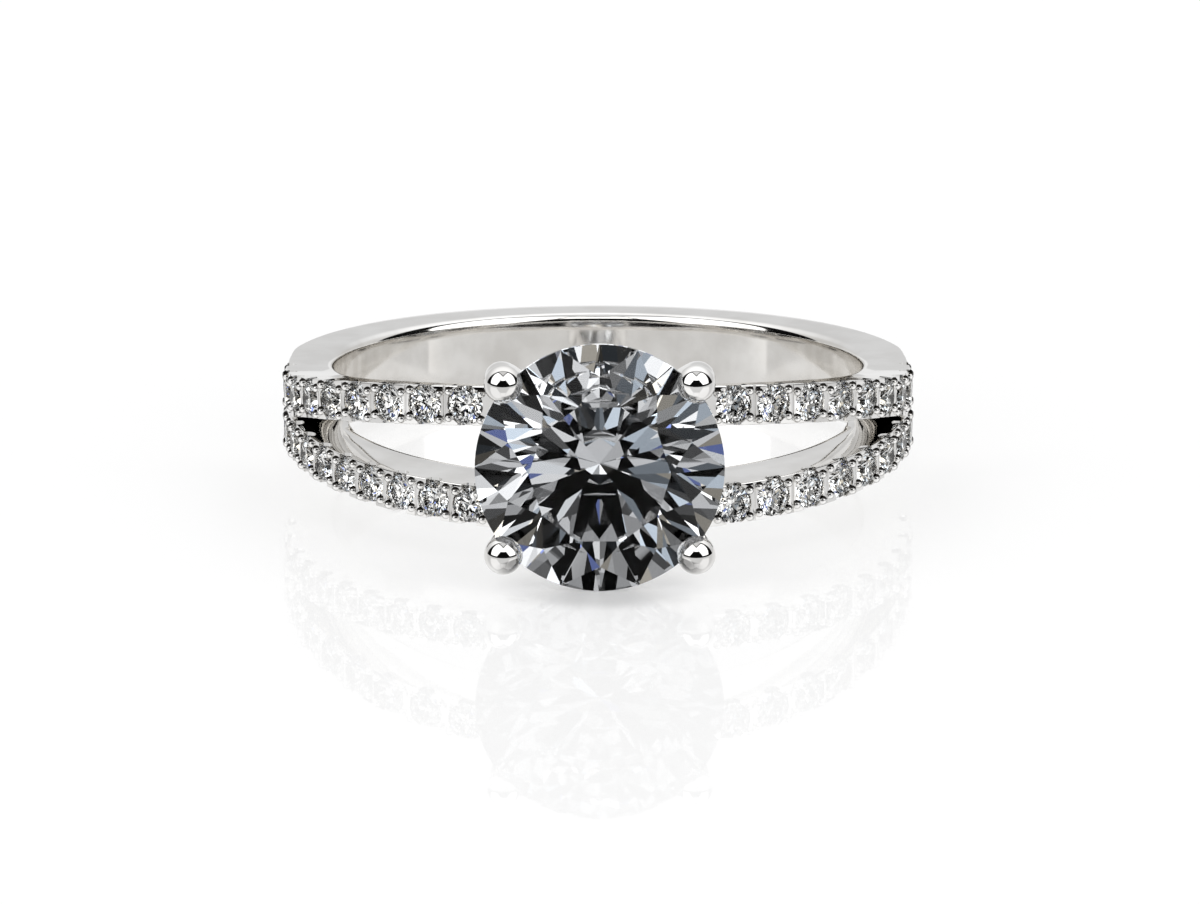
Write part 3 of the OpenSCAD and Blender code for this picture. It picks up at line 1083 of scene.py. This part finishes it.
# %% Gallery and notches
def facing_front(forward):
    """A frame on the stone's axis, with Z toward the front."""
    return Matrix.Translation((0, -forward, 0)) @ Matrix.Rotation(math.pi / 2, 4, "X")


GALLERY_R = 3.35
GALLERY_WIRE = 0.4
GALLERY_Y = 11.0
AT_STONE = facing_front(STONE_Y)
gallery = [(GALLERY_R + GALLERY_WIRE * math.cos(a), GALLERY_WIRE * math.sin(a)) for a in arc(0, 360, 24)]
head = cut_away(head, spun(gallery, 96, facing_front(GALLERY_Y)), "UNION")
head = cut_away(head, spun(room_profile(STONE_R, SEAT_GAP), 128, AT_STONE))
hand_over(head, "head", (white_gold,), replaces=("ring_body",))


# %% [markdown]
# ## Stones
# A brilliant is cut the way a cutter does it: a round blank, and then one plane after the
# other takes away what lies outside it, with the cut closed by a new facet. The planes are
# given by three points each, on the table's edge, the girdle and the two rings of corners
# between them. The large stone is cut ten-fold, as in the photograph: 1 table, 10 stars, 10
# kites and 20 upper halves above, and 20 lower halves and 10 mains below. The small ones are
# cut eight-fold. A girdle of 100 sides, or 32 on the small ones, reads as round.

# %% Facets of a brilliant
LOWER_HALF_END = 0.24


def polar(radius, turn_degrees, rise):
    """A point from its distance from the axis, its turn in degrees and its height."""
    turn = math.radians(turn_degrees)
    return Vector((radius * math.cos(turn), radius * math.sin(turn), rise))


def facet_planes(r, fold):
    """Three points of each facet's plane, for a stone with a fold-sided table."""
    g = GIRDLE * r
    rt = TABLE * r
    step = 360 / fold
    half = step / 2
    cos_half = math.cos(math.radians(half))
    rb = (rt * cos_half + r) / 2
    rd = LOWER_HALF_END * r
    top = g + (r - rt) * math.tan(CROWN)
    upper = g + (r - rb * cos_half) * math.tan(CROWN)
    lower = -g - (r - rd * cos_half) * math.tan(PAVILION)
    culet = Vector((0, 0, -g - r * math.tan(PAVILION)))
    planes = [(polar(rt, 0, top), polar(rt, 90, top), polar(rt, 180, top))]
    for k in range(fold):
        a = step * k
        planes.append((polar(rt, a, top), polar(rt, a + step, top), polar(rb, a + half, upper)))
        planes.append((polar(r, a, g), polar(rb, a + half, upper), polar(rb, a - half, upper)))
        planes.append((culet, polar(r, a, -g), polar(rd, a + half, lower)))
        for b in (a, a + half):
            planes.append((polar(rb, a + half, upper), polar(r, b, g), polar(r, b + half, g)))
            planes.append((polar(rd, a + half, lower), polar(r, b, -g), polar(r, b + half, -g)))
    return planes


print("facets, ten-fold and eight-fold:", len(facet_planes(1, 10)), len(facet_planes(1, 8)))


# %% Cutting a brilliant
def brilliant(r, fold, girdle_sides):
    """A brilliant of a radius, in its own frame, with the table toward Z."""
    bm = bmesh.new()
    bmesh.ops.create_cone(bm, cap_ends=True, segments=girdle_sides, radius1=r, radius2=r,
                          depth=3 * r)
    for a, b, c in facet_planes(r, fold):
        out = (b - a).cross(c - a).normalized()
        if out.dot(a) < 0:
            out.negate()
        cut = bmesh.ops.bisect_plane(bm, geom=bm.verts[:] + bm.edges[:] + bm.faces[:], dist=1e-5 * r,
                                     plane_co=a, plane_no=out, clear_outer=True)
        rim = [g for g in cut["geom_cut"] if isinstance(g, bmesh.types.BMEdge)]
        bmesh.ops.holes_fill(bm, edges=rim, sides=0)
    return bm


centre = brilliant(STONE_R, fold=10, girdle_sides=100)
print("centre stone:", len(centre.faces), "faces,", open_edges(centre), "open edges")
bmesh.ops.transform(centre, matrix=AT_STONE, verts=centre.verts)
hand_over(centre, "centre_brilliant", (centre_glass_painted_shade,), replaces=("centre_stone",),
          smooth=False)

# %% Rows of small brilliants
for name, row in ROWS.items():
    small = brilliant(row["radius"], fold=8, girdle_sides=32)
    stones = set_in_row(row, small, lift=-MELEE_SINK)
    hand_over(stones, name.replace("melee", "brilliants"), (small_stone,),
              replaces=(name,), smooth=False)
